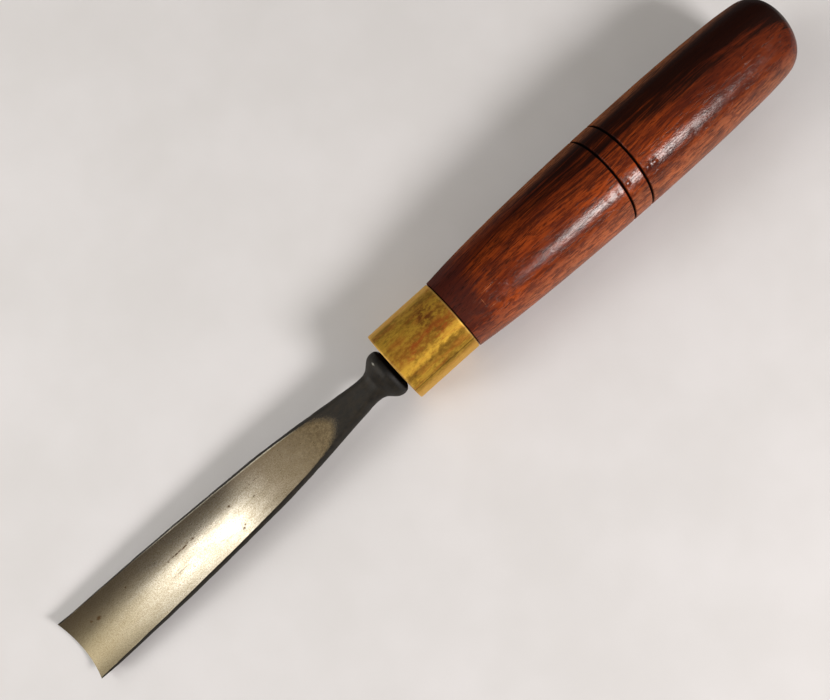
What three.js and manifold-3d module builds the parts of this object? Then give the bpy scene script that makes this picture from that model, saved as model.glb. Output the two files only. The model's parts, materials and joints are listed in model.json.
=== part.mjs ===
// Carving gouge: one forged steel blade with bolster and tang, a brass ferrule and a turned hardwood handle.
// Tool frame: X runs along the handle's axis from the cutting edge to the butt, Z points out of the channel.
// The finished group lies on its back on a bench at Z = 0, touching it with the blade's heel and the handle.
import * as THREE from 'three';
import { mergeVertices } from 'three/addons/utils/BufferGeometryUtils.js';
import Module from 'manifold-3d';

const wasm = await Module();
wasm.setup();

// Driving dimensions, millimetres.
const OVERALL_LENGTH = 254;
const FIT_GAP = 0.3;
const ROUND_SEGMENTS = 48;

const SWEEP_RADIUS = 18.6;
const CHANNEL_HALF_ANGLE = THREE.MathUtils.degToRad(42);
const CHANNEL_TOP = 12;
const BEVEL_LENGTH = 5;
const BLADE_DROP = 3.2;
const NECK_X = 106.3;

const BOLSTER_REAR = 115.8;
const TANG_END = 184;
const TANG_ROOT_HALF = 3.4;
const TANG_TIP_HALF = 1.6;
const TANG_FLAT = 0.75;

const FERRULE_FRONT = BOLSTER_REAR + FIT_GAP;
const FERRULE_REAR = 137.2;
const FERRULE_RADIUS = 10.9;
const FERRULE_WALL = 1.0;
const FERRULE_EDGE = 0.35;

const TENON_RADIUS = FERRULE_RADIUS - FERRULE_WALL - FIT_GAP;
const SHOULDER_X = FERRULE_REAR + FIT_GAP;
const GROOVE_CENTRES = [191.3, 197.6];
const GROOVE_HALF_WIDTH = 0.35;
const GROOVE_DEPTH = 0.4;
const BUTT_FLAT_RADIUS = 4.5;

// Blade, shank and bolster in front of the handle. Each row is one section:
// x, half width, crown height, height of the widest line, back height, flat share and corner power of the
// crown, flat share and corner power of the back. Power 1 is a shallow arc and power 2 is a quarter ellipse.
// Heights count from the blade's own centre line, which drops ahead of the neck.
const BLADE_SECTIONS = [
  [0.0, 9.66, 0.98, 0.92, -1.7, 0.98, 1, 0, 1],
  [BEVEL_LENGTH, 9.68, 0.98, -0.3, -3.4, 0.93, 1, 0, 1],
  [19.5, 9.5, 0.98, -0.45, -3.4, 0.92, 1, 0, 1],
  [33.5, 9.23, 0.96, -0.55, -3.4, 0.91, 1, 0, 1],
  [46.6, 8.76, 0.93, -0.6, -3.4, 0.9, 1, 0, 1.05],
  [60.6, 8.15, 0.92, -0.6, -3.42, 0.88, 1, 0.02, 1.1],
  [70.7, 7.67, 1.02, -0.55, -3.44, 0.86, 1.1, 0.05, 1.2],
  [77.7, 7.06, 1.16, -0.45, -3.46, 0.84, 1.2, 0.08, 1.35],
  [84.2, 6.44, 1.34, -0.35, -3.46, 0.8, 1.3, 0.12, 1.5],
  [90.7, 5.72, 1.58, -0.25, -3.45, 0.72, 1.45, 0.16, 1.65],
  [96.7, 5.0, 1.92, -0.15, -3.42, 0.6, 1.6, 0.22, 1.8],
  [102.7, 4.3, 2.5, -0.05, -3.38, 0.5, 1.8, 0.3, 1.9],
  [NECK_X, 3.97, 2.98, 0, -3.36, 0.4, 2, 0.35, 2],
  [107.8, 4.05, 3.2, 0, -3.5, 0.35, 2, 0.3, 2],
  [109.2, 4.5, 3.8, 0, -4.0, 0.2, 2, 0.2, 2],
  [110.2, 5.25, 4.8, 0, -4.9, 0.1, 2, 0.1, 2],
  [111.1, 6.1, 5.9, 0, -5.95, 0, 2, 0, 2],
  [112.2, 6.85, 6.75, 0, -6.75, 0, 2, 0, 2],
  [113.4, 7.13, 7.1, 0, -7.1, 0, 2, 0, 2],
  [114.6, 6.95, 6.9, 0, -6.9, 0, 2, 0, 2],
  [115.3, 6.3, 6.3, 0, -6.3, 0, 2, 0, 2],
  [BOLSTER_REAR, 5.5, 5.5, 0, -5.5, 0, 2, 0, 2],
];

// Lowest line of the channel: it climbs slowly along the blade and runs out on top of the shank.
const CHANNEL_FLOOR = [
  [-2, -1.6],
  [0, -1.6],
  [33.5, -1.02],
  [60.6, -0.52],
  [77.7, 0.14],
  [84.2, 0.57],
  [88.7, 0.98],
  [92.7, 1.45],
  [95.2, 1.82],
  [100, 2.8],
];

// Outline of the turned handle behind the ferrule: x and radius.
const HANDLE_OUTLINE = [
  [SHOULDER_X, 11.05],
  [141.8, 11.46],
  [146.2, 11.86],
  [151.6, 12.25],
  [157.1, 12.55],
  [164.2, 12.88],
  [172, 13.15],
  [180.6, 13.39],
  [187.8, 13.53],
  [203.7, 13.64],
  [211.5, 13.63],
  [219.4, 13.56],
  [226.4, 13.4],
  [233.4, 13.15],
  [240.3, 12.85],
  [245.4, 12.42],
  [248.8, 11.97],
  [250.8, 11.27],
  [252.3, 10.05],
  [253.3, 8.2],
  [253.8, 6.3],
  [OVERALL_LENGTH, BUTT_FLAT_RADIUS],
];

const POINTS_ON_BACK = 14;
const POINTS_ON_CROWN = 16;

// A lofted solid through rings of equal point count, each ring counter-clockwise seen from +X.
function loft(rings) {
  const count = rings[0].length;
  const positions = rings.flat().flatMap((point) => point.toArray());
  const indices = [];
  for (let ring = 0; ring + 1 < rings.length; ring += 1) {
    for (let side = 0; side < count; side += 1) {
      const a = ring * count + side;
      const b = ring * count + ((side + 1) % count);
      indices.push(a, b, a + count, b, b + count, a + count);
    }
  }
  [rings[0], rings[rings.length - 1]].forEach((ring, isLast) => {
    const centre = ring.reduce((sum, point) => sum.add(point), new THREE.Vector3()).divideScalar(count);
    const hub = positions.length / 3;
    const start = isLast ? (rings.length - 1) * count : 0;
    positions.push(...centre.toArray());
    for (let side = 0; side < count; side += 1) {
      const a = start + side;
      const b = start + ((side + 1) % count);
      indices.push(hub, isLast ? a : b, isLast ? b : a);
    }
  });
  const geometry = new THREE.BufferGeometry();
  geometry.setAttribute('position', new THREE.Float32BufferAttribute(positions, 3));
  geometry.setIndex(indices);
  return geometry;
}

// A solid of revolution about the X axis with one facet facing straight down.
function turned(outline) {
  const points = outline.map(([x, radius]) => new THREE.Vector2(radius, x));
  const geometry = new THREE.LatheGeometry(points, ROUND_SEGMENTS, Math.PI / ROUND_SEGMENTS);
  return geometry.rotateZ(-Math.PI / 2);
}

function toSolid(geometry) {
  const bare = geometry.clone();
  bare.deleteAttribute('normal');
  bare.deleteAttribute('uv');
  const merged = mergeVertices(bare);
  const vertProperties = new Float32Array(merged.attributes.position.array);
  const triVerts = new Uint32Array(merged.index.array);
  return new wasm.Manifold(new wasm.Mesh({ numProp: 3, vertProperties, triVerts }));
}

function toGeometry(solid) {
  const mesh = solid.getMesh();
  const geometry = new THREE.BufferGeometry();
  geometry.setAttribute('position', new THREE.Float32BufferAttribute(mesh.vertProperties, 3));
  geometry.setIndex([...mesh.triVerts]);
  return geometry;
}

// Height of a section's curve at share v of the half width: 1 over the flat middle, falling to 0 at the side.
function sectionHeight(v, flat, power) {
  const outside = Math.max(0, (Math.abs(v) - flat) / (1 - flat));
  return Math.max(0, 1 - outside ** 2) ** (1 / power);
}

// The shank is bent a little, so that the blade lies lower than the handle's axis.
function dropAt(x) {
  return -BLADE_DROP * Math.max(0, 1 - x / NECK_X);
}

// One closed section ring: over the crown from +Y to -Y, then back along the underside.
function sectionRing([x, halfWidth, crown, wide, back, crownFlat, crownPower, backFlat, backPower]) {
  const ring = [];
  const place = (v, height) => {
    ring.push(new THREE.Vector3(x, v * halfWidth, height + dropAt(x)));
  };
  for (let step = 0; step < POINTS_ON_CROWN; step += 1) {
    const v = Math.cos((Math.PI * step) / POINTS_ON_CROWN);
    place(v, wide + (crown - wide) * sectionHeight(v, crownFlat, crownPower));
  }
  for (let step = 0; step <= POINTS_ON_BACK; step += 1) {
    const v = -Math.cos((Math.PI * step) / (POINTS_ON_BACK + 1));
    place(v, wide + (back - wide) * sectionHeight(v, backFlat, backPower));
  }
  return ring;
}

function squareRing(x, half) {
  return sectionRing([x, half, half, 0, -half, TANG_FLAT, 2, TANG_FLAT, 2]);
}

// The hollow that a round-nosed wheel of the sweep's radius leaves as it climbs along the channel floor.
function channelCutter() {
  const steps = 24;
  const rings = CHANNEL_FLOOR.map(([x, height]) => {
    const ring = [];
    const floor = height + dropAt(x);
    for (let step = 0; step <= steps; step += 1) {
      const angle = -CHANNEL_HALF_ANGLE + (2 * CHANNEL_HALF_ANGLE * step) / steps;
      const y = SWEEP_RADIUS * Math.sin(angle);
      ring.push(new THREE.Vector3(x, y, floor + SWEEP_RADIUS * (1 - Math.cos(angle))));
    }
    ring.push(new THREE.Vector3(x, ring[steps].y, CHANNEL_TOP));
    ring.push(new THREE.Vector3(x, ring[0].y, CHANNEL_TOP));
    return ring;
  });
  return loft(rings);
}

// Blade, shank, bolster and tang are one forging; the bevel is ground on the outside of the edge.
function bladeGeometry() {
  const rings = BLADE_SECTIONS.map(sectionRing);
  rings.push(squareRing(BOLSTER_REAR, TANG_ROOT_HALF), squareRing(TANG_END, TANG_TIP_HALF));
  return toGeometry(toSolid(loft(rings)).subtract(toSolid(channelCutter())));
}

function ferruleGeometry() {
  const inner = FERRULE_RADIUS - FERRULE_WALL;
  return turned([
    [FERRULE_FRONT, inner],
    [FERRULE_FRONT, FERRULE_RADIUS - FERRULE_EDGE],
    [FERRULE_FRONT + FERRULE_EDGE, FERRULE_RADIUS],
    [FERRULE_REAR - FERRULE_EDGE, FERRULE_RADIUS],
    [FERRULE_REAR, FERRULE_RADIUS - FERRULE_EDGE],
    [FERRULE_REAR, inner],
    [FERRULE_FRONT, inner],
  ]);
}

function handleRadiusAt(x) {
  const after = HANDLE_OUTLINE.findIndex(([knot]) => knot > x);
  const [x0, radius0] = HANDLE_OUTLINE[after - 1];
  const [x1, radius1] = HANDLE_OUTLINE[after];
  return THREE.MathUtils.mapLinear(x, x0, x1, radius0, radius1);
}

function groove(centre) {
  return [
    [centre - GROOVE_HALF_WIDTH, handleRadiusAt(centre - GROOVE_HALF_WIDTH)],
    [centre, handleRadiusAt(centre) - GROOVE_DEPTH],
    [centre + GROOVE_HALF_WIDTH, handleRadiusAt(centre + GROOVE_HALF_WIDTH)],
  ];
}

// The handle's front is a tenon inside the ferrule, with a tapered square mortise for the tang.
function handleGeometry() {
  const outside = [...HANDLE_OUTLINE, ...GROOVE_CENTRES.flatMap(groove)].sort((a, b) => a[0] - b[0]);
  const blank = turned([
    [FERRULE_FRONT, 0],
    [FERRULE_FRONT, TENON_RADIUS],
    [SHOULDER_X, TENON_RADIUS],
    ...outside,
    [OVERALL_LENGTH, 0],
  ]);
  const mortise = loft([
    squareRing(BOLSTER_REAR, TANG_ROOT_HALF + FIT_GAP),
    squareRing(TANG_END + FIT_GAP, TANG_TIP_HALF + FIT_GAP),
  ]);
  return toGeometry(toSolid(blank).subtract(toSolid(mortise)));
}

// Slope of the bench under the lying tool: the line from the blade's heel that just clears the parts behind.
function lyingAngle() {
  const [heelX, , , , back] = BLADE_SECTIONS[1];
  const heelHeight = back + dropAt(heelX);
  const facetShare = Math.cos(Math.PI / ROUND_SEGMENTS);
  const outline = [[FERRULE_FRONT + FERRULE_EDGE, FERRULE_RADIUS], ...HANDLE_OUTLINE];
  const slopes = outline.map(([x, radius]) => Math.atan2(radius * facetShare + heelHeight, x - heelX));
  return Math.max(...slopes);
}

const steel = new THREE.MeshStandardMaterial({ color: 0x6b5f4c, roughness: 0.35, metalness: 0.9 });
const brass = new THREE.MeshStandardMaterial({ color: 0x9a7430, roughness: 0.35, metalness: 0.95 });
const rosewood = new THREE.MeshStandardMaterial({ color: 0x5a2614, roughness: 0.3, metalness: 0 });

function namedMesh(name, geometry, material) {
  const mesh = new THREE.Mesh(geometry, material);
  mesh.name = name;
  return mesh;
}

const tool = new THREE.Group();
tool.add(namedMesh('blade', bladeGeometry(), steel));
tool.add(namedMesh('ferrule', ferruleGeometry(), brass));
tool.add(namedMesh('handle', handleGeometry(), rosewood));
tool.rotation.y = -lyingAngle();

// The origin is the middle of the footprint, on the bench.
const gouge = new THREE.Group();
gouge.add(tool);
gouge.updateMatrixWorld(true);
const reach = new THREE.Box3().setFromObject(gouge, true);
tool.position.set(-(reach.min.x + reach.max.x) / 2, -(reach.min.y + reach.max.y) / 2, -reach.min.z);

export default gouge;
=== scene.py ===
import json
import math

import bpy
import numpy as np
from mathutils import Matrix, Vector, noise


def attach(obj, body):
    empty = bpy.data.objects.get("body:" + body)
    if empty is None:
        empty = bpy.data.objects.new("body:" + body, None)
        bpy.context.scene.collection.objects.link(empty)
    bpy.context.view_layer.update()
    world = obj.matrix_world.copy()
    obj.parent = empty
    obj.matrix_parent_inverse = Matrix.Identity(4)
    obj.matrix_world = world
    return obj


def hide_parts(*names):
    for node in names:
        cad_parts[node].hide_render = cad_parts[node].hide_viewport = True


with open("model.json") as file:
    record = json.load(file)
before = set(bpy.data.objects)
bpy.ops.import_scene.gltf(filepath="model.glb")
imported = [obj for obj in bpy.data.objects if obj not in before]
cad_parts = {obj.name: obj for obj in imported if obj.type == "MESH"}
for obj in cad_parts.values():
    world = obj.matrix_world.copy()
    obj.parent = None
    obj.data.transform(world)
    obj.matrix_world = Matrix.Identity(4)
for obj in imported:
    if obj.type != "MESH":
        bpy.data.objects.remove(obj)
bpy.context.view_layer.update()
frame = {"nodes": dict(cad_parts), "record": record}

# The tool frame, in millimetres: X from the cutting edge to the butt along the handle's axis,
# Y to the left as seen from the butt, Z out of the channel.
MM = 0.001
BUTT = frame["record"]["mounts"][0]
AXIS = Vector(BUTT["axis"]).normalized()
SIDE = Vector((0, 1, 0))
UP = AXIS.cross(SIDE)


def cad_points(node):
    """The vertices of a CAD node in the tool frame, measured from the butt."""
    points = np.array([v.co for v in frame["nodes"][node].data.vertices])
    away = points - np.array(BUTT["pos_m"])
    return away @ np.array([AXIS, SIDE, UP]).T / MM


LENGTH = -cad_points("blade")[:, 0].min()
ORIGIN = Vector(BUTT["pos_m"]) - AXIS * LENGTH * MM


def to_world(points):
    """Tool-frame millimetres to the row frame in metres."""
    return np.array(ORIGIN) + (np.asarray(points) * MM) @ np.array([AXIS, SIDE, UP])


def world_point(x, y, z):
    return Vector(to_world([(x, y, z)])[0])


# ---------------------------------------------------------------- camera and light

FOCAL_MM = 38.55
SENSOR_MM = 36.0
CAMERA_FOOT = 123.3
CAMERA_DISTANCE = 242.0
CAMERA_ROLL = math.radians(10.4)
CAMERA_LEAN = math.radians(5.5)
CAMERA_SIDESTEP = 0.19
TOOL_SLANT = math.radians(41.87)
CHANNEL_MIDDLE = 46.0
ROOM_COLOUR = (1.0, 0.92, 0.8, 1)
ROOM_STRENGTH = 0.21


def make_camera():
    """Looks down on the channel; the tool runs from the frame's lower left to its upper right."""
    over = UP * math.cos(CAMERA_ROLL) - SIDE * math.sin(CAMERA_ROLL)
    across = -SIDE * math.cos(CAMERA_ROLL) - UP * math.sin(CAMERA_ROLL)
    place = world_point(CAMERA_FOOT, 0, 0) + over * CAMERA_DISTANCE * MM + across * CAMERA_SIDESTEP * MM
    back = over * math.cos(CAMERA_LEAN) - across * math.sin(CAMERA_LEAN)
    down = across * math.cos(CAMERA_LEAN) + over * math.sin(CAMERA_LEAN)
    right = AXIS * math.cos(TOOL_SLANT) + down * math.sin(TOOL_SLANT)
    up = AXIS * math.sin(TOOL_SLANT) - down * math.cos(TOOL_SLANT)
    camera = bpy.data.objects.new("camera", bpy.data.cameras.new("camera"))
    camera.data.lens = FOCAL_MM
    camera.data.sensor_width = SENSOR_MM
    offset = FOCAL_MM / SENSOR_MM * math.tan(CAMERA_LEAN)
    camera.data.shift_x = -offset * math.sin(TOOL_SLANT)
    camera.data.shift_y = offset * math.cos(TOOL_SLANT)
    camera.data.clip_start = 0.01
    camera.matrix_world = Matrix((right, up, back)).transposed().to_4x4()
    camera.matrix_world.translation = place
    bpy.context.scene.collection.objects.link(camera)
    bpy.context.scene.camera = camera


def area_light(name, target, direction, distance, size, power, colour):
    """A soft rectangular light at a distance from a point on the tool, facing it."""
    toward = Vector(direction).normalized()
    light = bpy.data.lights.new(name, "AREA")
    light.shape = "RECTANGLE"
    light.size, light.size_y = size
    light.energy = power
    light.color = colour
    lamp = bpy.data.objects.new(name, light)
    along = SIDE.cross(toward).normalized()
    lamp.matrix_world = Matrix((along, toward.cross(along), toward)).transposed().to_4x4()
    lamp.matrix_world.translation = target + toward * distance
    bpy.context.scene.collection.objects.link(lamp)


def make_lights():
    """A key from the -Y side, two weak lights that the channel mirrors, and one from past the tip."""
    middle = world_point(LENGTH / 2, 0, 0)
    channel = world_point(CHANNEL_MIDDLE, 0, 0)
    area_light("key", middle, direction=(0.33, -0.78, 0.62), distance=0.8,
               size=(0.24, 0.2), power=5.8, colour=(1.0, 0.95, 0.92))
    area_light("strip", channel, direction=(-0.46, 0.62, 1.0), distance=0.5,
               size=(0.12, 0.54), power=0.58, colour=(1.0, 0.99, 0.96))
    area_light("window", channel, direction=(-0.6, 0.72, 0.93), distance=0.5,
               size=(0.26, 0.56), power=0.5, colour=(1.0, 0.96, 0.88))
    area_light("side", middle, direction=(-0.9, 0.42, 0.5), distance=1.2,
               size=(0.35, 0.35), power=5.0, colour=(1.0, 0.96, 0.93))
    world = bpy.data.worlds.new("studio")
    world.use_nodes = True
    background = world.node_tree.nodes["Background"]
    background.inputs["Color"].default_value = ROOM_COLOUR
    background.inputs["Strength"].default_value = ROOM_STRENGTH
    bpy.context.scene.world = world
    bpy.context.scene.view_settings.view_transform = "Standard"


# ---------------------------------------------------------------- node helpers


class Shader:
    """A material's node tree with short helpers for the nodes that the finishes share."""

    def __init__(self, name):
        self.material = bpy.data.materials.new(name)
        self.material.use_nodes = True
        self.tree = self.material.node_tree
        self.surface = self.tree.nodes["Principled BSDF"]

    def node(self, kind, **settings):
        node = self.tree.nodes.new(kind)
        for key, value in settings.items():
            setattr(node, key, value)
        return node

    def plug(self, value, socket):
        if isinstance(value, bpy.types.NodeSocket):
            self.tree.links.new(value, socket)
        elif value is not None:
            socket.default_value = value

    def attribute(self, name, part="Fac"):
        return self.node("ShaderNodeAttribute", attribute_name=name).outputs[part]

    def math(self, operation, a, b=None, c=None, clamp=False):
        node = self.node("ShaderNodeMath", operation=operation, use_clamp=clamp)
        for value, socket in zip((a, b, c), node.inputs):
            self.plug(value, socket)
        return node.outputs[0]

    def times(self, a, b):
        return self.math("MULTIPLY", a, b)

    def plus(self, a, b):
        return self.math("ADD", a, b)

    def minus(self, a, b):
        return self.math("SUBTRACT", a, b)

    def jitter(self, texture, spread):
        """A texture of 0 to 1 as a shift to either side of zero."""
        return self.times(self.minus(texture, 0.5), spread)

    def axes(self, vector):
        node = self.node("ShaderNodeSeparateXYZ")
        self.plug(vector, node.inputs[0])
        return node.outputs

    def stretch(self, vector, scale):
        node = self.node("ShaderNodeVectorMath", operation="MULTIPLY")
        self.plug(vector, node.inputs[0])
        node.inputs[1].default_value = scale
        return node.outputs[0]

    def noise(self, vector, scale, detail=4.0, roughness=0.55, distortion=0.0):
        node = self.node("ShaderNodeTexNoise")
        self.plug(vector, node.inputs["Vector"])
        node.inputs["Scale"].default_value = scale
        node.inputs["Detail"].default_value = detail
        node.inputs["Roughness"].default_value = roughness
        node.inputs["Distortion"].default_value = distortion
        return node.outputs["Fac"]

    def cells(self, vector, scale, feature="F1", randomness=1.0):
        node = self.node("ShaderNodeTexVoronoi", feature=feature)
        self.plug(vector, node.inputs["Vector"])
        node.inputs["Scale"].default_value = scale
        node.inputs["Randomness"].default_value = randomness
        return node.outputs["Distance"]

    def ramp(self, value, low, high, at_low=0.0, at_high=1.0):
        node = self.node("ShaderNodeMapRange", interpolation_type="SMOOTHSTEP")
        for socket, number in zip(node.inputs, (value, low, high, at_low, at_high)):
            self.plug(number, socket)
        return node.outputs[0]

    def bump_at(self, value, centre, half_width):
        """1 at centre, falling smoothly to 0 a half width away on either side."""
        distance = self.math("ABSOLUTE", self.minus(value, centre))
        return self.ramp(distance, 0.0, half_width, 1.0, 0.0)

    def blend(self, share, a, b):
        """The number a where share is 0, b where it is 1."""
        return self.math("MULTIPLY_ADD", share, self.minus(b, a), a)

    def mix(self, share, a, b):
        node = self.node("ShaderNodeMix", data_type="RGBA")
        for value, name in ((share, "Factor"), (a, "A"), (b, "B")):
            socket = next(s for s in node.inputs if s.name == name and s.enabled)
            self.plug(value, socket)
        return next(s for s in node.outputs if s.enabled)

    def bump(self, height, distance, strength=1.0, normal=None):
        node = self.node("ShaderNodeBump")
        node.inputs["Strength"].default_value = strength
        node.inputs["Distance"].default_value = distance
        self.plug(height, node.inputs["Height"])
        self.plug(normal, node.inputs["Normal"])
        return node.outputs[0]

    def finish(self, **inputs):
        for name, value in inputs.items():
            self.plug(value, self.surface.inputs[name.replace("_", " ")])
        return self.material


def rgb(red, green, blue):
    """An sRGB colour, 0 to 255, as the linear colour that a socket takes."""
    def linear(value):
        share = value / 255
        return share / 12.92 if share <= 0.04045 else ((share + 0.055) / 1.055) ** 2.4
    return linear(red), linear(green), linear(blue), 1.0


# ---------------------------------------------------------------- finishes


def steel_finish():
    """Browned polish in the channel, black forge scale elsewhere, with pits and rust spots."""
    s = Shader("forged_steel")
    place = s.attribute("tool", "Vector")
    x, y = s.axes(place)[:2]
    grit = s.noise(place, 2.8, 4.0, 0.65)
    cloud = s.noise(s.stretch(place, (0.35, 1.0, 1.0)), 0.35, 5.0, 0.62)
    marks = steel_marks(s, place, grit)
    polished = channel_colour(s, place, grit, cloud)
    speck = s.ramp(s.cells(place, 1.3), 0.05, 0.2, 1.0, 0.0)
    speck = s.times(speck, s.ramp(s.noise(place, 0.32, 2.0), 0.46, 0.6))
    speck = s.times(speck, s.ramp(x, 58.0, 84.0, 0.3, 0.8))
    pitted = s.math("MAXIMUM", marks, speck)
    polished = s.mix(pitted, polished, rgb(74, 46, 16))

    # The polish ends in a ragged border at the heel of the channel.
    heel = s.plus(s.plus(x, s.jitter(grit, 12.0)), s.times(s.math("ABSOLUTE", y), 0.7))
    border = s.times(s.attribute("polish"), s.ramp(heel, 90.0, 101.0, 1.0, 0.0))
    ragged = s.times(s.minus(grit, 0.5), s.ramp(x, 76.0, 92.0, 0.5, 1.6))
    bare = s.ramp(s.plus(border, ragged), 0.2, 0.8)
    crust = s.noise(s.stretch(place, (0.5, 1.0, 1.0)), 0.8, 6.0, 0.65)
    colour = s.mix(bare, scale_colour(s, place, grit, crust), polished)
    # Painted highlight: a thin bright line along the channel's +Y edge, where its sharp corner catches
    # the light.
    rim_glint = s.times(s.attribute("rim_glint"), s.ramp(grit, 0.4, 0.55, 0.35, 1.0))
    colour = s.mix(rim_glint, colour, rgb(214, 208, 190))

    bright_rough = s.plus(s.ramp(x, 54.0, 72.0, 0.28, 0.66), s.times(pitted, 0.25))
    bright_rough = s.plus(bright_rough, s.ramp(cloud, 0.35, 0.7, 0.03, -0.02))
    bright_rough = s.plus(bright_rough, s.ramp(x, 0.0, 40.0, 0.08, 0.0))
    black_rough = s.ramp(crust, 0.3, 0.7, 0.5, 0.65)
    rough = s.blend(bare, black_rough, bright_rough)
    fine = s.noise(s.stretch(place, (0.03, 2.4, 2.4)), 3.0, 3.0, 0.6)
    grain = s.times(s.noise(place, 5.0, 3.0, 0.7), s.ramp(x, 56.0, 84.0, 0.0, 0.7))
    polished_height = s.minus(s.times(fine, 0.08), s.times(pitted, 0.3))
    polished_height = s.plus(polished_height, grain)
    height = s.blend(bare, s.times(crust, 1.2), polished_height)
    normal = s.bump(height, 0.00005, 0.7)
    across = s.node("ShaderNodeVectorMath", operation="CROSS_PRODUCT")
    s.plug(s.node("ShaderNodeNewGeometry").outputs["Normal"], across.inputs[0])
    across.inputs[1].default_value = AXIS
    metal = s.ramp(bare, 0.0, 1.0, 0.2, 1.0)
    return s.finish(Base_Color=colour, Metallic=metal, Roughness=rough, Normal=normal,
                    Specular_IOR_Level=0.35, Anisotropic=0.5, Tangent=across.outputs[0])


def channel_colour(s, place, grit, cloud):
    """Grey polish under brown stains, browner at the tip and at the heel, with painted shade on the +Y
    wing.
    """
    x, y = s.axes(place)[:2]
    colour = s.mix(s.ramp(cloud, 0.36, 0.66), rgb(204, 197, 181), rgb(222, 216, 203))
    drag = s.noise(s.stretch(place, (0.04, 1.5, 1.5)), 2.2, 5.0, 0.7)
    colour = s.mix(s.ramp(drag, 0.45, 0.75, 0.0, 0.4), colour, rgb(156, 144, 118))
    colour = s.mix(s.ramp(grit, 0.42, 0.68, 0.0, 0.4), colour, rgb(146, 132, 106))
    colour = s.mix(s.ramp(x, 0.0, 44.0, 0.9, 0.0), colour, rgb(141, 131, 103))
    # Painted shade: the +Y wing is darkened, standing in for the dark room that this wing mirrors.
    colour = s.mix(s.ramp(y, 0.0, 9.0, 0.0, 0.72), colour, rgb(122, 108, 92))
    colour = s.mix(s.ramp(x, 56.0, 76.0, 0.0, 0.75), colour, rgb(136, 122, 96))
    mottle = s.ramp(s.noise(place, 1.3, 6.0, 0.75), 0.35, 0.65)
    heel_brown = s.mix(mottle, rgb(90, 77, 57), rgb(134, 120, 92))
    colour = s.mix(s.ramp(x, 72.0, 90.0, 0.0, 0.9), colour, heel_brown)
    powder = s.noise(place, 3.6, 4.0, 0.75)
    return s.mix(s.ramp(powder, 0.42, 0.6, 0.0, 0.6), colour, rgb(118, 102, 76))


def scale_colour(s, place, grit, crust):
    """Black forge scale, with painted shade behind the bolster's ridge where it meets the ferrule, and a
    bright nick on the ridge.
    """
    x, y = s.axes(place)[:2]
    black = s.mix(s.ramp(crust, 0.35, 0.7), rgb(18, 15, 10), rgb(38, 32, 23))
    # Painted shade: near-black on the bolster's rear face, in the gap against the ferrule.
    black = s.mix(s.attribute("ridge"), black, rgb(9, 8, 8))
    nick_x = s.math("ABSOLUTE", s.minus(x, 112.5))
    nick_y = s.math("ABSOLUTE", s.minus(y, 3.4))
    nick = s.plus(s.times(nick_x, 2.6), s.times(nick_y, 1.1))
    nick = s.plus(nick, s.jitter(grit, 1.6))
    return s.mix(s.ramp(nick, 0.5, 0.9, 0.8, 0.0), black, rgb(150, 150, 142))


# Rust spots in the channel: x, y and radius of each.
RUST_SPOTS = [(56.4, -5.1, 0.42), (57.2, -4.5, 0.3), (56.8, 2.3, 0.42), (64.0, -0.2, 0.3),
              (9.0, 3.7, 0.8), (6.8, 4.4, 0.4), (43.4, 2.5, 0.42), (41.5, 2.6, 0.25),
              (34.0, 2.2, 0.3), (20.4, 5.0, 0.3)]
# Rows of pits along the channel: x of the middle, half length, y, half width and strength of each.
PIT_LINES = [(38.4, 9.0, 2.3, 0.17, 0.8), (35.2, 4.6, -2.1, 0.15, 0.35), (65.0, 6.0, 3.0, 0.12, 0.3)]


def steel_marks(s, place, grit):
    """Rust spots and the rows of pits that run along the channel."""
    x, y = s.axes(place)[:2]
    bend = s.noise(s.stretch(place, (0.3, 1.0, 1.0)), 0.35, 2.0)
    wander = s.jitter(bend, 0.5)
    marks = None
    for middle, half_length, side, half_width, strength in PIT_LINES:
        line = s.bump_at(s.plus(y, wander), side, half_width * 2)
        line = s.times(line, s.bump_at(x, middle, half_length))
        broken = s.noise(s.stretch(place, (0.7, 1.6, 1.0)), 1.3, 3.0)
        line = s.times(line, s.ramp(broken, 0.42, 0.56, 0.0, strength * 1.6))
        marks = line if marks is None else s.math("MAXIMUM", marks, line)
    for spot_x, spot_y, radius in RUST_SPOTS:
        dx = s.times(s.minus(x, spot_x), 0.7)
        dy = s.minus(y, spot_y)
        reach = s.math("SQRT", s.plus(s.times(dx, dx), s.times(dy, dy)))
        reach = s.plus(reach, s.jitter(grit, 1.1))
        marks = s.math("MAXIMUM", marks, s.ramp(reach, radius * 0.25, radius, 0.85, 0.0))
    return s.math("MINIMUM", marks, 1.0)


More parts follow.
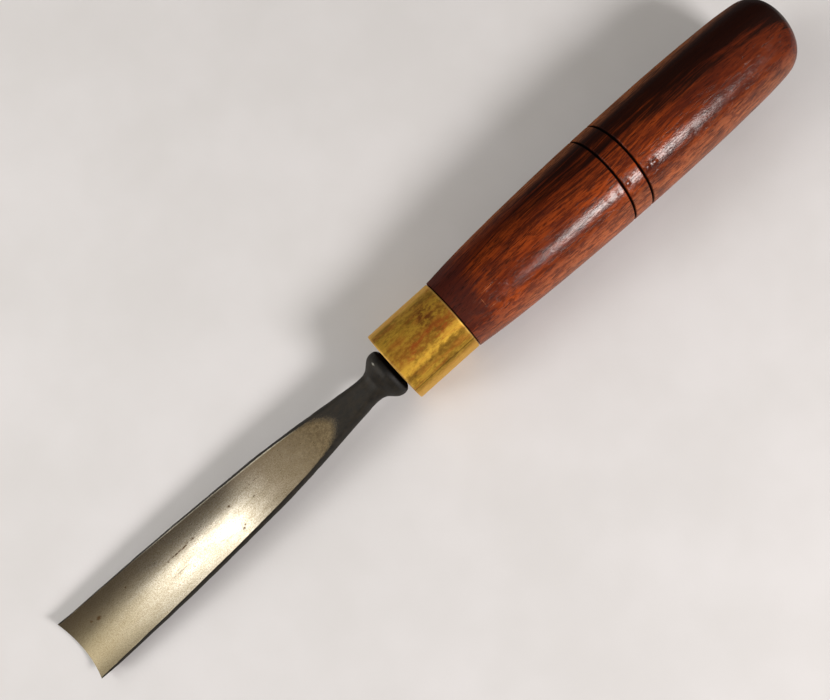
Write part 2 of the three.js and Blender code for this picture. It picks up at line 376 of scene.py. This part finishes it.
def brass_finish():
    """Old drawn tube: mottled brown tarnish, fine scratches, brighter gold at both ends (partly worn
    bright, partly a painted glint) and a painted reflection of the floor down both flanks.
    """
    s = Shader("aged_brass")
    place = s.attribute("tool", "Vector")
    x, y, z = s.axes(place)
    rim_glint = s.attribute("ridge")

    cloud = s.noise(s.stretch(place, (0.4, 1.0, 1.0)), 0.26, 5.0, 0.62)
    mottle = s.noise(s.stretch(place, (0.7, 1.0, 1.0)), 1.1, 5.0, 0.62)
    both = s.plus(s.times(cloud, 0.6), s.times(mottle, 0.4))
    tarnish = s.ramp(both, 0.4, 0.62)
    colour = s.mix(tarnish, rgb(180, 143, 52), rgb(134, 103, 36))
    turn = s.math("ARCTAN2", s.times(y, -1.0), z)
    rose = s.ramp(s.noise(s.stretch(place, (0.3, 1.3, 1.3)), 0.45, 3.0), 0.46, 0.66, 0.0, 0.5)
    crown = s.times(s.bump_at(turn, 0.12, 0.4), s.ramp(mottle, 0.35, 0.6, 0.1, 0.5))
    rose = s.plus(rose, crown)
    colour = s.mix(rose, colour, rgb(156, 84, 34))
    band = s.plus(turn, s.jitter(mottle, 0.1))
    colour = s.mix(s.times(s.bump_at(band, 0.66, 0.16), 0.6), colour, rgb(112, 78, 26))
    # Painted reflection: brighter gold down both flanks, standing in for the floor mirrored at grazing
    # angles.
    flank_reflection = s.math("MAXIMUM", s.ramp(turn, 1.0, 1.35, 0.0, 0.8), s.ramp(turn, -0.95, -0.84, 0.6, 0.0))
    olive = s.ramp(s.noise(s.stretch(place, (0.5, 1.0, 1.0)), 0.7, 5.0, 0.7), 0.52, 0.7, 0.0, 0.6)
    colour = s.mix(olive, colour, rgb(96, 74, 28))
    stain = s.times(s.bump_at(x, 131.5, 7.5), s.bump_at(y, 3.5, 6.0))
    stain = s.times(stain, s.ramp(mottle, 0.4, 0.62, 0.2, 1.0))
    colour = s.mix(stain, colour, rgb(104, 58, 26))
    # Brighter gold at both ends: partly brass worn bright, partly a painted glint.
    colour = s.mix(s.times(rim_glint, 0.5), colour, rgb(226, 188, 112))

    along = s.ramp(s.noise(s.stretch(place, (0.04, 2.0, 2.0)), 2.2, 4.0, 0.7), 0.56, 0.64)
    around = s.ramp(s.noise(s.stretch(place, (3.0, 0.12, 0.12)), 2.0, 3.0, 0.7), 0.58, 0.66)
    scratch = s.math("MAXIMUM", s.times(along, 0.6), s.times(around, 0.4))
    # The painted reflection of the floor on both flanks.
    colour = s.mix(flank_reflection, colour, rgb(222, 178, 88))
    uneven = s.jitter(cloud, 0.05)
    seam = s.bump_at(s.plus(turn, uneven), 1.024, 0.03)
    dark_line = s.math("MAXIMUM", s.times(scratch, 0.35), s.times(seam, 0.75))
    colour = s.mix(dark_line, colour, rgb(96, 62, 24))
    rough = s.plus(s.ramp(tarnish, 0.0, 1.0, 0.6, 0.74), s.times(rim_glint, -0.05))
    height = s.minus(s.times(mottle, 0.4), s.times(dark_line, 0.5))
    normal = s.bump(height, 0.00004, 0.6)
    return s.finish(Base_Color=colour, Metallic=0.95, Roughness=rough, Normal=normal)


PITH_Y = 30.0
PITH_Z = -22.0


def wood_grain(s, place):
    """How far the growth rings sway, and coordinates that follow them round a pith beside the handle."""
    x, y, z = s.axes(place)
    sway = s.jitter(s.noise(s.stretch(place, (0.35, 1.0, 1.0)), 0.05, 2.0), 8.0)
    from_pith_y = s.plus(s.minus(y, PITH_Y), sway)
    from_pith_z = s.minus(z, PITH_Z)
    squares = s.plus(s.times(from_pith_y, from_pith_y), s.times(from_pith_z, from_pith_z))
    cell = s.node("ShaderNodeCombineXYZ")
    s.plug(s.times(x, 0.06), cell.inputs[0])
    s.plug(s.math("SQRT", squares), cell.inputs[1])
    s.plug(s.times(s.plus(y, z), 0.25), cell.inputs[2])
    return sway, cell.outputs[0]


def wood_finish():
    """Rosewood: orange to purple-brown with black streaks along it, under an old glossy finish."""
    s = Shader("rosewood")
    place = s.attribute("tool", "Vector")
    x, y, z = s.axes(place)
    burnt = s.attribute("burnt")
    sway, grain = wood_grain(s, place)

    band = s.noise(grain, 0.42, 4.0, 0.62, 0.3)
    colour = s.mix(s.ramp(band, 0.34, 0.66), rgb(100, 35, 12), rgb(158, 67, 21))
    fine = s.noise(s.stretch(grain, (1.5, 1.0, 1.0)), 2.3, 4.0, 0.7, 0.1)
    colour = s.mix(s.ramp(fine, 0.43, 0.6, 0.0, 0.75), colour, rgb(66, 21, 9))
    long_line = s.ramp(s.noise(s.stretch(grain, (0.55, 1.0, 1.0)), 1.15, 4.0, 0.66, 0.25), 0.54, 0.63)
    # The black streaks are grain, painted stronger towards +Y as part of the painted shade.
    dark_side = s.ramp(s.plus(y, sway), -4.0, 7.0, 0.25, 1.0)
    colour = s.mix(s.times(long_line, dark_side), colour, rgb(24, 9, 7))

    # Painted shade: darker towards the +Y side and towards the butt. Darker also in smoky patches, and
    # black over the +Y side towards the butt, partly dark heartwood and partly painted shade.
    streak = s.noise(s.stretch(grain, (0.5, 1.0, 1.0)), 0.9, 5.0, 0.7)
    # Painted shade on the +Y side.
    colour = s.mix(s.ramp(y, -7.0, 2.0, 0.0, 0.45), colour, rgb(62, 22, 9))
    smoke = s.noise(s.stretch(place, (0.3, 1.0, 1.0)), 0.16, 5.0, 0.62)
    colour = s.mix(s.ramp(smoke, 0.48, 0.66, 0.0, 0.6), colour, rgb(60, 22, 16))
    # Painted shade towards the butt.
    colour = s.mix(s.ramp(x, 202.0, 246.0, 0.0, 0.66), colour, rgb(72, 26, 14))
    border = s.minus(s.ramp(x, 172.0, 246.0, 4.8, 0.2), s.ramp(x, 238.0, 254.0, 0.0, 4.2))
    border = s.plus(border, s.jitter(streak, 20.0))
    # Partly dark heartwood, partly painted shade on the side away from the key light.
    heartwood_and_shade = s.ramp(s.minus(y, border), -2.6, 2.6, 0.0, 0.92)
    heartwood_and_shade = s.times(heartwood_and_shade, s.ramp(x, 150.0, 186.0, 0.35, 1.0))
    colour = s.mix(heartwood_and_shade, colour, rgb(22, 9, 7))

    # Paler on both flanks as painted light from the floor, and dark with dirt at the collar.
    flank_floor_light = s.math("MAXIMUM", s.ramp(y, 9.0, 12.5, 0.0, 0.75), s.ramp(y, -13.0, -8.0, 0.6, 0.0))
    flank_floor_light = s.times(flank_floor_light, s.ramp(fine, 0.35, 0.6, 1.0, 0.25))
    flank_floor_light = s.times(flank_floor_light, s.ramp(z, -6.0, 0.0))
    # Painted light: the floor's reflection and bounce light on both flanks.
    colour = s.mix(flank_floor_light, colour, rgb(170, 100, 58))
    collar = s.plus(x, s.jitter(band, 14.0))
    collar = s.ramp(collar, 143.0, 151.0, 0.85, 0.0)
    collar = s.times(collar, s.ramp(y, -10.0, -4.0, 0.3, 1.0))
    colour = s.mix(collar, colour, rgb(58, 24, 20))

    pore = s.noise(s.stretch(place, (0.1, 1.4, 1.4)), 2.2, 3.0, 0.6)
    pore = s.ramp(pore, 0.56, 0.64)
    colour = s.mix(s.times(pore, 0.7), colour, rgb(24, 9, 6))
    turn = s.math("ARCTAN2", s.times(y, -1.0), z)
    colour = s.mix(wood_scuffs(s, x, turn, fine), colour, rgb(196, 128, 88))
    colour = s.mix(burnt, colour, rgb(5, 4, 4))

    skin = s.noise(place, 0.6, 4.0, 0.6)
    height = s.minus(s.times(skin, 0.8), s.times(pore, 0.2))
    height = s.plus(height, s.times(fine, 0.12))
    peel = s.noise(place, 2.4, 2.0, 0.5)
    height = s.plus(height, s.times(peel, 0.35))
    normal = s.bump(height, 0.0001, 0.6)
    rough = s.plus(s.ramp(skin, 0.35, 0.7, 0.34, 0.44), s.times(burnt, 0.3))
    gloss = s.times(s.ramp(y, -3.0, 5.0, 0.5, 0.1), s.minus(1.0, burnt))
    return s.finish(Base_Color=colour, Roughness=rough, Normal=normal, Coat_Weight=gloss,
                    Coat_Roughness=0.17, Coat_Normal=normal, Specular_IOR_Level=0.0)


# Thin scratches near the collar: x and turn of each middle, half length along and half turn round.
SCRATCHES = [(144.8, 0.42, 0.1, 0.16), (147.6, 0.24, 3.2, 0.012), (146.2, 0.62, 1.6, 0.01)]


def wood_scuffs(s, x, turn, fine):
    """Faint pale scratches, broken up by the grain."""
    scuffs = 0.0
    for middle, angle, half_length, half_turn in SCRATCHES:
        scratch = s.bump_at(x, middle, half_length)
        scratch = s.times(scratch, s.bump_at(turn, angle, half_turn))
        scuffs = s.math("MAXIMUM", scuffs, scratch)
    return s.times(scuffs, s.ramp(fine, 0.4, 0.6, 0.7, 0.15))


def paper_finish():
    """A plain pale sheet under the tool, with a hardly visible tooth."""
    s = Shader("pale_sheet")
    place = s.node("ShaderNodeTexCoord").outputs["Object"]
    tooth = s.noise(place, 900.0, 3.0, 0.6)
    patch = s.noise(place, 22.0, 3.0, 0.6)
    colour = s.mix(s.ramp(patch, 0.3, 0.7), rgb(209, 208, 209), rgb(215, 214, 216))
    return s.finish(Base_Color=colour, Roughness=0.75, Normal=s.bump(tooth, 0.0001, 0.25))


# ---------------------------------------------------------------- mesh helpers


def make_piece(name, rings, closed, masks, finish, node):
    """A mesh of equal rings in the tool frame, which meet end to end if closed and are capped if not."""
    rings = np.asarray(rings)
    count, sides = rings.shape[:2]
    points = rings.reshape(-1, 3)
    faces = []
    for i in range(count if closed else count - 1):
        here, there = i * sides, ((i + 1) % count) * sides
        for j in range(sides):
            k = (j + 1) % sides
            faces.append((here + j, here + k, there + k, there + j))
    if not closed:
        faces.append(tuple(range(sides - 1, -1, -1)))
        faces.append(tuple(range((count - 1) * sides, count * sides)))
    mesh = bpy.data.meshes.new(name)
    mesh.from_pydata(to_world(points).tolist(), [], faces)
    mesh.attributes.new("tool", "FLOAT_VECTOR", "POINT").data.foreach_set("vector", points.ravel())
    for mask, values in masks.items():
        layer = mesh.attributes.new(mask, "FLOAT", "POINT")
        layer.data.foreach_set("value", np.asarray(values).ravel())
    mesh.shade_smooth()
    mesh.set_sharp_from_angle(angle=math.radians(42))
    mesh.materials.append(finish)
    piece = bpy.data.objects.new(name, mesh)
    bpy.context.scene.collection.objects.link(piece)
    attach(piece, "root")
    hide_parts(node)
    return piece


def smooth_curve(knots, x):
    """A curve through the knots without overshoot (monotone cubic)."""
    knots = np.asarray(knots, float)
    px, py = knots[:, 0], knots[:, 1]
    step = np.diff(px)
    slope = np.diff(py) / step
    tangent = np.concatenate([[slope[0]], np.zeros(len(slope) - 1), [slope[-1]]])
    same = slope[:-1] * slope[1:] > 0
    mean = 2 * slope[:-1] * slope[1:] / np.where(same, slope[:-1] + slope[1:], 1)
    tangent[1:-1] = np.where(same, mean, 0)
    x = np.clip(x, px[0], px[-1])
    i = np.clip(np.searchsorted(px, x, side="right") - 1, 0, len(step) - 1)
    t = (x - px[i]) / step[i]
    start = py[i] * (1 + 2 * t) * (1 - t) ** 2 + step[i] * tangent[i] * t * (1 - t) ** 2
    return start + py[i + 1] * t * t * (3 - 2 * t) + step[i] * tangent[i + 1] * t * t * (t - 1)


def noise_field(points, scale, seed=0.0):
    """Smooth noise of about -1 to 1 at each point; another seed gives another pattern."""
    shift = Vector((seed, seed * 1.7, seed * 0.3))
    return np.array([noise.noise(Vector(p) * scale + shift) for p in points])


def smooth_min(a, b, blend):
    """The lower of a and b, rounded where they cross."""
    share = np.clip(0.5 + 0.5 * (b - a) / blend, 0, 1)
    return b * (1 - share) + a * share - blend * share * (1 - share)


# ---------------------------------------------------------------- blade

SWEEP_RADIUS = 18.6
BEVEL_LENGTH = 5.0
EDGE_THICKNESS = 0.05
BLADE_DROP = 3.2
SECTION_MIDDLE = -0.3
NECK_X = 106.3
BOLSTER_REAR = 115.8
TANG_END = 184.0
# Half widths of the square tang at the bolster and at its tip, and its clearance in the wood.
TANG_HALF = 3.4
TIP_HALF = 1.6
CLEARANCE = 0.3

HALF_WIDTH = [(0, 9.66), (5, 9.68), (19.5, 9.5), (33.5, 9.23), (46.6, 8.76), (60.6, 8.15),
              (70.7, 7.67), (77.7, 7.06), (84.2, 6.44), (90.7, 5.72), (96.7, 5.0), (102.7, 4.3),
              (NECK_X, 3.97), (107.8, 4.05), (109.2, 4.5), (110.2, 5.25), (111.1, 6.1), (112.2, 6.85),
              (113.4, 7.13), (114.6, 6.95), (115.3, 6.3), (BOLSTER_REAR, 5.5)]
CROWN = [(0, 0.98), (19.5, 0.98), (46.6, 0.93), (60.6, 0.92), (70.7, 1.02), (77.7, 1.16),
         (84.2, 1.34), (90.7, 1.58), (96.7, 1.92), (102.7, 2.5), (NECK_X, 2.98), (107.8, 3.2),
         (109.2, 3.8), (110.2, 4.8), (111.1, 5.9), (112.2, 6.75), (113.4, 7.1), (114.6, 6.9),
         (115.3, 6.3), (BOLSTER_REAR, 5.5)]
WIDEST = [(0, -0.3), (19.5, -0.45), (33.5, -0.55), (60.6, -0.6), (77.7, -0.45), (90.7, -0.25),
          (NECK_X, 0), (BOLSTER_REAR, 0)]
BACK = [(0, -3.4), (46.6, -3.4), (77.7, -3.46), (96.7, -3.42), (NECK_X, -3.36), (107.8, -3.5),
        (109.2, -4.0), (110.2, -4.9), (111.1, -5.95), (112.2, -6.75), (113.4, -7.1), (114.6, -6.9),
        (115.3, -6.3), (BOLSTER_REAR, -5.5)]
CROWN_FLAT = [(0, 0.94), (33.5, 0.91), (60.6, 0.88), (77.7, 0.84), (90.7, 0.72), (102.7, 0.5),
              (NECK_X, 0.4), (109.2, 0.2), (111.1, 0), (BOLSTER_REAR, 0)]
CROWN_POWER = [(0, 1), (60.6, 1), (84.2, 1.3), (96.7, 1.6), (NECK_X, 2), (BOLSTER_REAR, 2)]
BACK_FLAT = [(0, 0), (60.6, 0.02), (84.2, 0.12), (102.7, 0.3), (NECK_X, 0.35), (109.2, 0.2),
             (111.1, 0), (BOLSTER_REAR, 0)]
BACK_POWER = [(0, 1), (46.6, 1.05), (70.7, 1.2), (84.2, 1.5), (102.7, 1.9), (NECK_X, 2),
              (BOLSTER_REAR, 2)]
CHANNEL_FLOOR = [(0, -1.6), (33.5, -1.02), (60.6, -0.52), (77.7, 0.14), (84.2, 0.57), (88.7, 0.98),
                 (92.7, 1.45), (95.2, 1.82), (100, 2.8), (116, 9.0)]


def section_height(v, flat, power):
    """1 over the flat middle of a section, falling round to 0 at its sides."""
    outside = np.clip((np.abs(v) - flat) / (1 - flat), 0, 1)
    return (1 - outside ** 2) ** (1 / power)


def blade_section(x, crown_v, back_v):
    """One ring of the blade at x, crown then underside, and how deep each point is in the channel."""
    width, crown, wide, back = (smooth_curve(k, x) for k in (HALF_WIDTH, CROWN, WIDEST, BACK))
    crown_flat, crown_power = smooth_curve(CROWN_FLAT, x), smooth_curve(CROWN_POWER, x)
    back_flat, back_power = smooth_curve(BACK_FLAT, x), smooth_curve(BACK_POWER, x)
    drop = -BLADE_DROP * max(0.0, 1 - x / NECK_X)

    def hollow(v):
        sagitta = SWEEP_RADIUS - np.sqrt(SWEEP_RADIUS ** 2 - (v * width) ** 2)
        return smooth_curve(CHANNEL_FLOOR, x) + sagitta

    top = wide + (crown - wide) * section_height(crown_v, crown_flat, crown_power)
    depth = top - hollow(crown_v)
    under = wide + (back - wide) * section_height(back_v, back_flat, back_power)
    if x < BEVEL_LENGTH:
        ground = x / BEVEL_LENGTH
        under = hollow(back_v) * (1 - ground) + under * ground - EDGE_THICKNESS * (1 - ground)
        top = top * ground + (hollow(crown_v) + 0.02) * (1 - ground)
        depth = top - hollow(crown_v)
    top = smooth_min(top, hollow(crown_v), 0.05)
    y = np.concatenate([crown_v, back_v]) * width
    z = np.concatenate([top, under]) + drop
    ring = np.stack([np.full_like(y, x), y, z], axis=1)
    return ring, np.concatenate([depth, np.full_like(back_v, -1.0)])


def square_ring(x, half, angles):
    """A rounded square section of the tang with the same number of points as the blade's rings."""
    reach = half * (np.abs(np.cos(angles)) ** 6 + np.abs(np.sin(angles)) ** 6) ** (-1 / 6)
    return np.stack([np.full_like(angles, x), reach * np.cos(angles), reach * np.sin(angles)], axis=1)


def rise(x, start, end):
    """0 up to start, 1 from end."""
    return np.clip((x - start) / (end - start), 0, 1)


def add_lumps(rings, share):
    """The uneven skin of a forging: each point moves in or out from the middle of its section."""
    points = rings.reshape(-1, 3)
    lump = 0.07 * noise_field(points, 0.22) + 0.045 * noise_field(points, 0.6, 5.0)
    lump += 0.02 * noise_field(points, 1.6, 9.0)
    outward = points - points * [1, 0, 0] - [0, 0, SECTION_MIDDLE]
    outward /= np.maximum(np.linalg.norm(outward, axis=1, keepdims=True), 1e-6)
    return (points + outward * (lump * share.ravel())[:, None]).reshape(rings.shape)


def make_blade(finish):
    """One mesh from the edge to the end of the tang, with masks for polish, a painted highlight along
    the channel's +Y edge, and the bolster's ridge.
    """
    across, under = 110, 64
    share = np.arange(across) / across
    crown_v = 0.55 * np.cos(np.pi * share) + 0.45 * (1 - 2 * share)
    share = np.arange(under) / under
    back_v = -(0.7 * np.cos(np.pi * share) + 0.3 * (1 - 2 * share))
    stations = np.concatenate([np.linspace(0, BEVEL_LENGTH, 17), np.linspace(5.4, 108, 258),
                               np.linspace(108.2, BOLSTER_REAR, 40)])
    built = [blade_section(x, crown_v, back_v) for x in stations]
    rings = np.array([ring for ring, _ in built])
    depth = np.array([d for _, d in built])
    x, y = rings[:, :, 0], rings[:, :, 1]
    polish = np.clip(0.5 + depth / (0.12 + 0.7 * rise(x, 78, 92)), 0, 1)
    # Where the painted highlight runs along the channel's +Y edge.
    rim_glint = np.exp(-(depth / 0.05) ** 2) * (y > 0) * rise(x, 26, 40) * (1 - rise(x, 76, 86))
    # The bolster's rear face, where shade is painted near-black against the ferrule.
    ridge = rise(x, 112.8, 114.0)
    rings = add_lumps(rings, (1 - polish) * rise(x, 4, 24))

    angles = np.arctan2(rings[-1, :, 2], rings[-1, :, 1])
    root = square_ring(BOLSTER_REAR, TANG_HALF, angles)
    tip = square_ring(TANG_END, TIP_HALF, angles)
    rings = np.concatenate([rings, [root, tip]])
    blank = np.zeros((2, rings.shape[1]))
    masks = {"polish": polish, "ridge": ridge, "rim_glint": rim_glint}
    masks = {mask: np.concatenate([values, blank]) for mask, values in masks.items()}
    piece = make_piece("gouge_blade", rings, False, masks, finish, "blade")


# ---------------------------------------------------------------- ferrule


def round_ring(x, radius, sides):
    """Points round the axis, counter-clockwise seen from the butt. The first is at +Y."""
    angles = 2 * np.pi * np.arange(sides) / sides
    return np.stack([np.full(sides, x), radius * np.cos(angles), radius * np.sin(angles)], axis=1)


def push_out(rings, amount):
    """Moves each point away from the axis."""
    moved = rings.copy()
    radius = np.hypot(rings[..., 1], rings[..., 2])
    scale = (radius + amount) / np.maximum(radius, 1e-9)
    moved[..., 1] *= scale
    moved[..., 2] *= scale
    return moved


def dent(rings, x, turn, width, depth):
    """A soft dimple at x and at an angle from straight up, towards -Y."""
    angle = np.arctan2(-rings[..., 1], rings[..., 2])
    radius = np.hypot(rings[..., 1], rings[..., 2])
    away = np.hypot(rings[..., 0] - x, (angle - turn) * radius)
    return -depth * np.exp(-(away / width) ** 2)


RIM_ROUND = 0.3


def make_ferrule(finish):
    """The tube with rounded rims, a slightly uneven wall and three small dents."""
    tube = cad_points("ferrule") + np.array([LENGTH, 0, 0])
    radii = np.hypot(tube[:, 1], tube[:, 2])
    front, rear = tube[:, 0].min(), tube[:, 0].max()
    outer, inner = radii.max(), radii.min()
    corner = np.linspace(0, np.pi / 2, 7)
    profile = [(front + 0.12, inner)]
    turned = [(RIM_ROUND * (1 - math.sin(a)), outer - RIM_ROUND * (1 - math.cos(a))) for a in corner]
    profile += [(front + inset, radius) for inset, radius in turned[::-1]]
    profile += [(x, outer) for x in np.linspace(front + 0.6, rear - 0.6, 60)]
    profile += [(rear - inset, radius) for inset, radius in turned]
    profile += [(rear, inner)]
    profile += [(x, inner) for x in np.linspace(rear - 3, front + 3, 6)]
    rings = np.array([round_ring(x, r, 256) for x, r in profile])
    outside = np.array([r > (inner + outer) / 2 for _, r in profile])[:, None]
    points = rings.reshape(-1, 3)
    wander = 0.018 * noise_field(points, 0.16, 3.0) + 0.007 * noise_field(points, 0.7, 7.0)
    shape = wander.reshape(rings.shape[:2])
    shape = shape + dent(rings, front + 3.2, math.radians(46), 0.7, 0.12)
    shape = shape + dent(rings, front + 1.4, math.radians(50), 0.35, 0.08)
    shape = shape + dent(rings, rear - 4.0, math.radians(-20), 1.2, 0.04)
    rings = push_out(rings, shape * outside)
    # Both ends of the tube, brightened in the brass's colour: partly wear, partly a painted glint.
    rim_glint = np.exp(-((rings[..., 0] - front) / 0.45) ** 2)
    rim_glint = np.maximum(rim_glint, np.exp(-((rings[..., 0] - rear) / 0.4) ** 2))
    piece = make_piece("brass_ferrule", rings[::-1], True, {"ridge": rim_glint[::-1]}, finish, "ferrule")


# ---------------------------------------------------------------- handle


GROOVE_HALF_WIDTH = 0.36
GROOVE_DEPTH = 0.45
# Blisters and dings of the handle: x, angle from straight up towards -Y in degrees, radius and
# height or depth of each.
BUBBLES = [(192.7, 31, 0.65, 0.2), (199.2, 32, 0.95, 0.32), (201.6, 33, 0.7, 0.2),
           (189.2, 31, 0.5, 0.08), (186.0, 30, 0.5, 0.07), (194.6, 29, 0.4, 0.05)]
DINGS = [(149.5, 18, 1.1, 0.05), (153.0, 26, 0.8, 0.04), (171.0, 14, 0.7, 0.05), (168.5, 20, 0.6, 0.04),
         (215.0, 36, 1.4, 0.06), (228.0, 24, 1.6, 0.06), (239.0, 32, 1.5, 0.05)]


def handle_outline():
    """The CAD handle's outline behind its shoulder, and the places of its grooves."""
    points = cad_points("handle") + np.array([LENGTH, 0, 0])
    radius = np.hypot(points[:, 1], points[:, 2])
    ferrule_rear = (cad_points("ferrule")[:, 0] + LENGTH).max()
    rings = {}
    for x, r in zip(points[:, 0], radius):
        if x > ferrule_rear + 0.1:
            rings[round(float(x), 2)] = max(rings.get(round(float(x), 2), 0), float(r))
    outline = sorted((x, r) for x, r in rings.items() if r > 4)
    triples = zip(outline, outline[1:], outline[2:])
    grooves = [b[0] for a, b, c in triples if b[1] < min(a[1], c[1]) - 0.2]
    body = [k for k in outline if all(abs(k[0] - g) > 0.5 for g in grooves)]
    return body, grooves


def make_handle(finish):
    """One mesh from the mortise's bottom round the tenon and shoulder to the butt."""
    body, grooves = handle_outline()
    shoulder, butt = body[0][0], body[-1][0]
    tenon = cad_points("ferrule")
    tenon_radius = np.hypot(tenon[:, 1], tenon[:, 2]).min() - CLEARANCE
    tenon_front = (tenon[:, 0] + LENGTH).min()
    stations = np.concatenate([np.linspace(shoulder + 0.05, 240, 330), np.linspace(240.4, butt, 60)])
    for centre in grooves:
        near = centre + np.linspace(-0.7, 0.7, 21)
        stations = np.concatenate([stations[np.abs(stations - centre) > 0.75], near])
    stations = np.sort(stations)
    radius = smooth_curve(body, stations)
    groove = sum(np.exp(-((stations - g) / GROOVE_HALF_WIDTH) ** 4) for g in grooves)
    radius = radius - GROOVE_DEPTH * groove
    sides = 256
    front = [(shoulder, tenon_radius), (shoulder, radius[0] - 0.12)]
    outer_rings = [round_ring(x, r, sides) for x, r in zip(stations, radius)]
    rings = np.array([round_ring(x, r, sides) for x, r in front] + outer_rings)
    outside = np.array([0, 0] + [1.0] * len(stations))[:, None]
    points = rings.reshape(-1, 3)
    stretched = points * np.array([0.25, 1, 1])
    wander = 0.035 * noise_field(stretched, 0.12, 2.0) + 0.012 * noise_field(points, 0.35, 4.0)
    shape = wander.reshape(rings.shape[:2])
    for x, turn, size, height in BUBBLES:
        shape = shape - dent(rings, x, math.radians(turn), size, height)
    for x, turn, size, depth in DINGS:
        shape = shape + dent(rings, x, math.radians(turn), size, depth)
    rings = push_out(rings, shape * outside)
    burnt = np.concatenate([[0, 0], np.clip(groove * 1.6 - 0.3, 0, 1)])[:, None] * np.ones((1, sides))

    angles = 2 * np.pi * np.arange(sides) / sides
    bottom = square_ring(TANG_END + CLEARANCE, TIP_HALF + CLEARANCE, angles)
    mortise = np.array([bottom, square_ring(tenon_front, TANG_HALF + CLEARANCE, angles)])
    tenon_rings = np.array([round_ring(tenon_front, tenon_radius, sides)])
    rings = np.concatenate([mortise, tenon_rings, rings])
    burnt = np.concatenate([np.zeros((3, sides)), burnt])
    piece = make_piece("turned_handle", rings, False, {"burnt": burnt}, finish, "handle")


# ---------------------------------------------------------------- floor


def make_floor():
    """A plain sheet, a hair below the tool so that they don't share a plane."""
    bpy.ops.mesh.primitive_plane_add(size=3.0, location=(0, 0, -0.00005))
    floor = bpy.context.object
    floor.name = "floor"
    floor.data.materials.append(paper_finish())


make_camera()
make_lights()
make_floor()
make_blade(steel_finish())
make_ferrule(brass_finish())
make_handle(wood_finish())
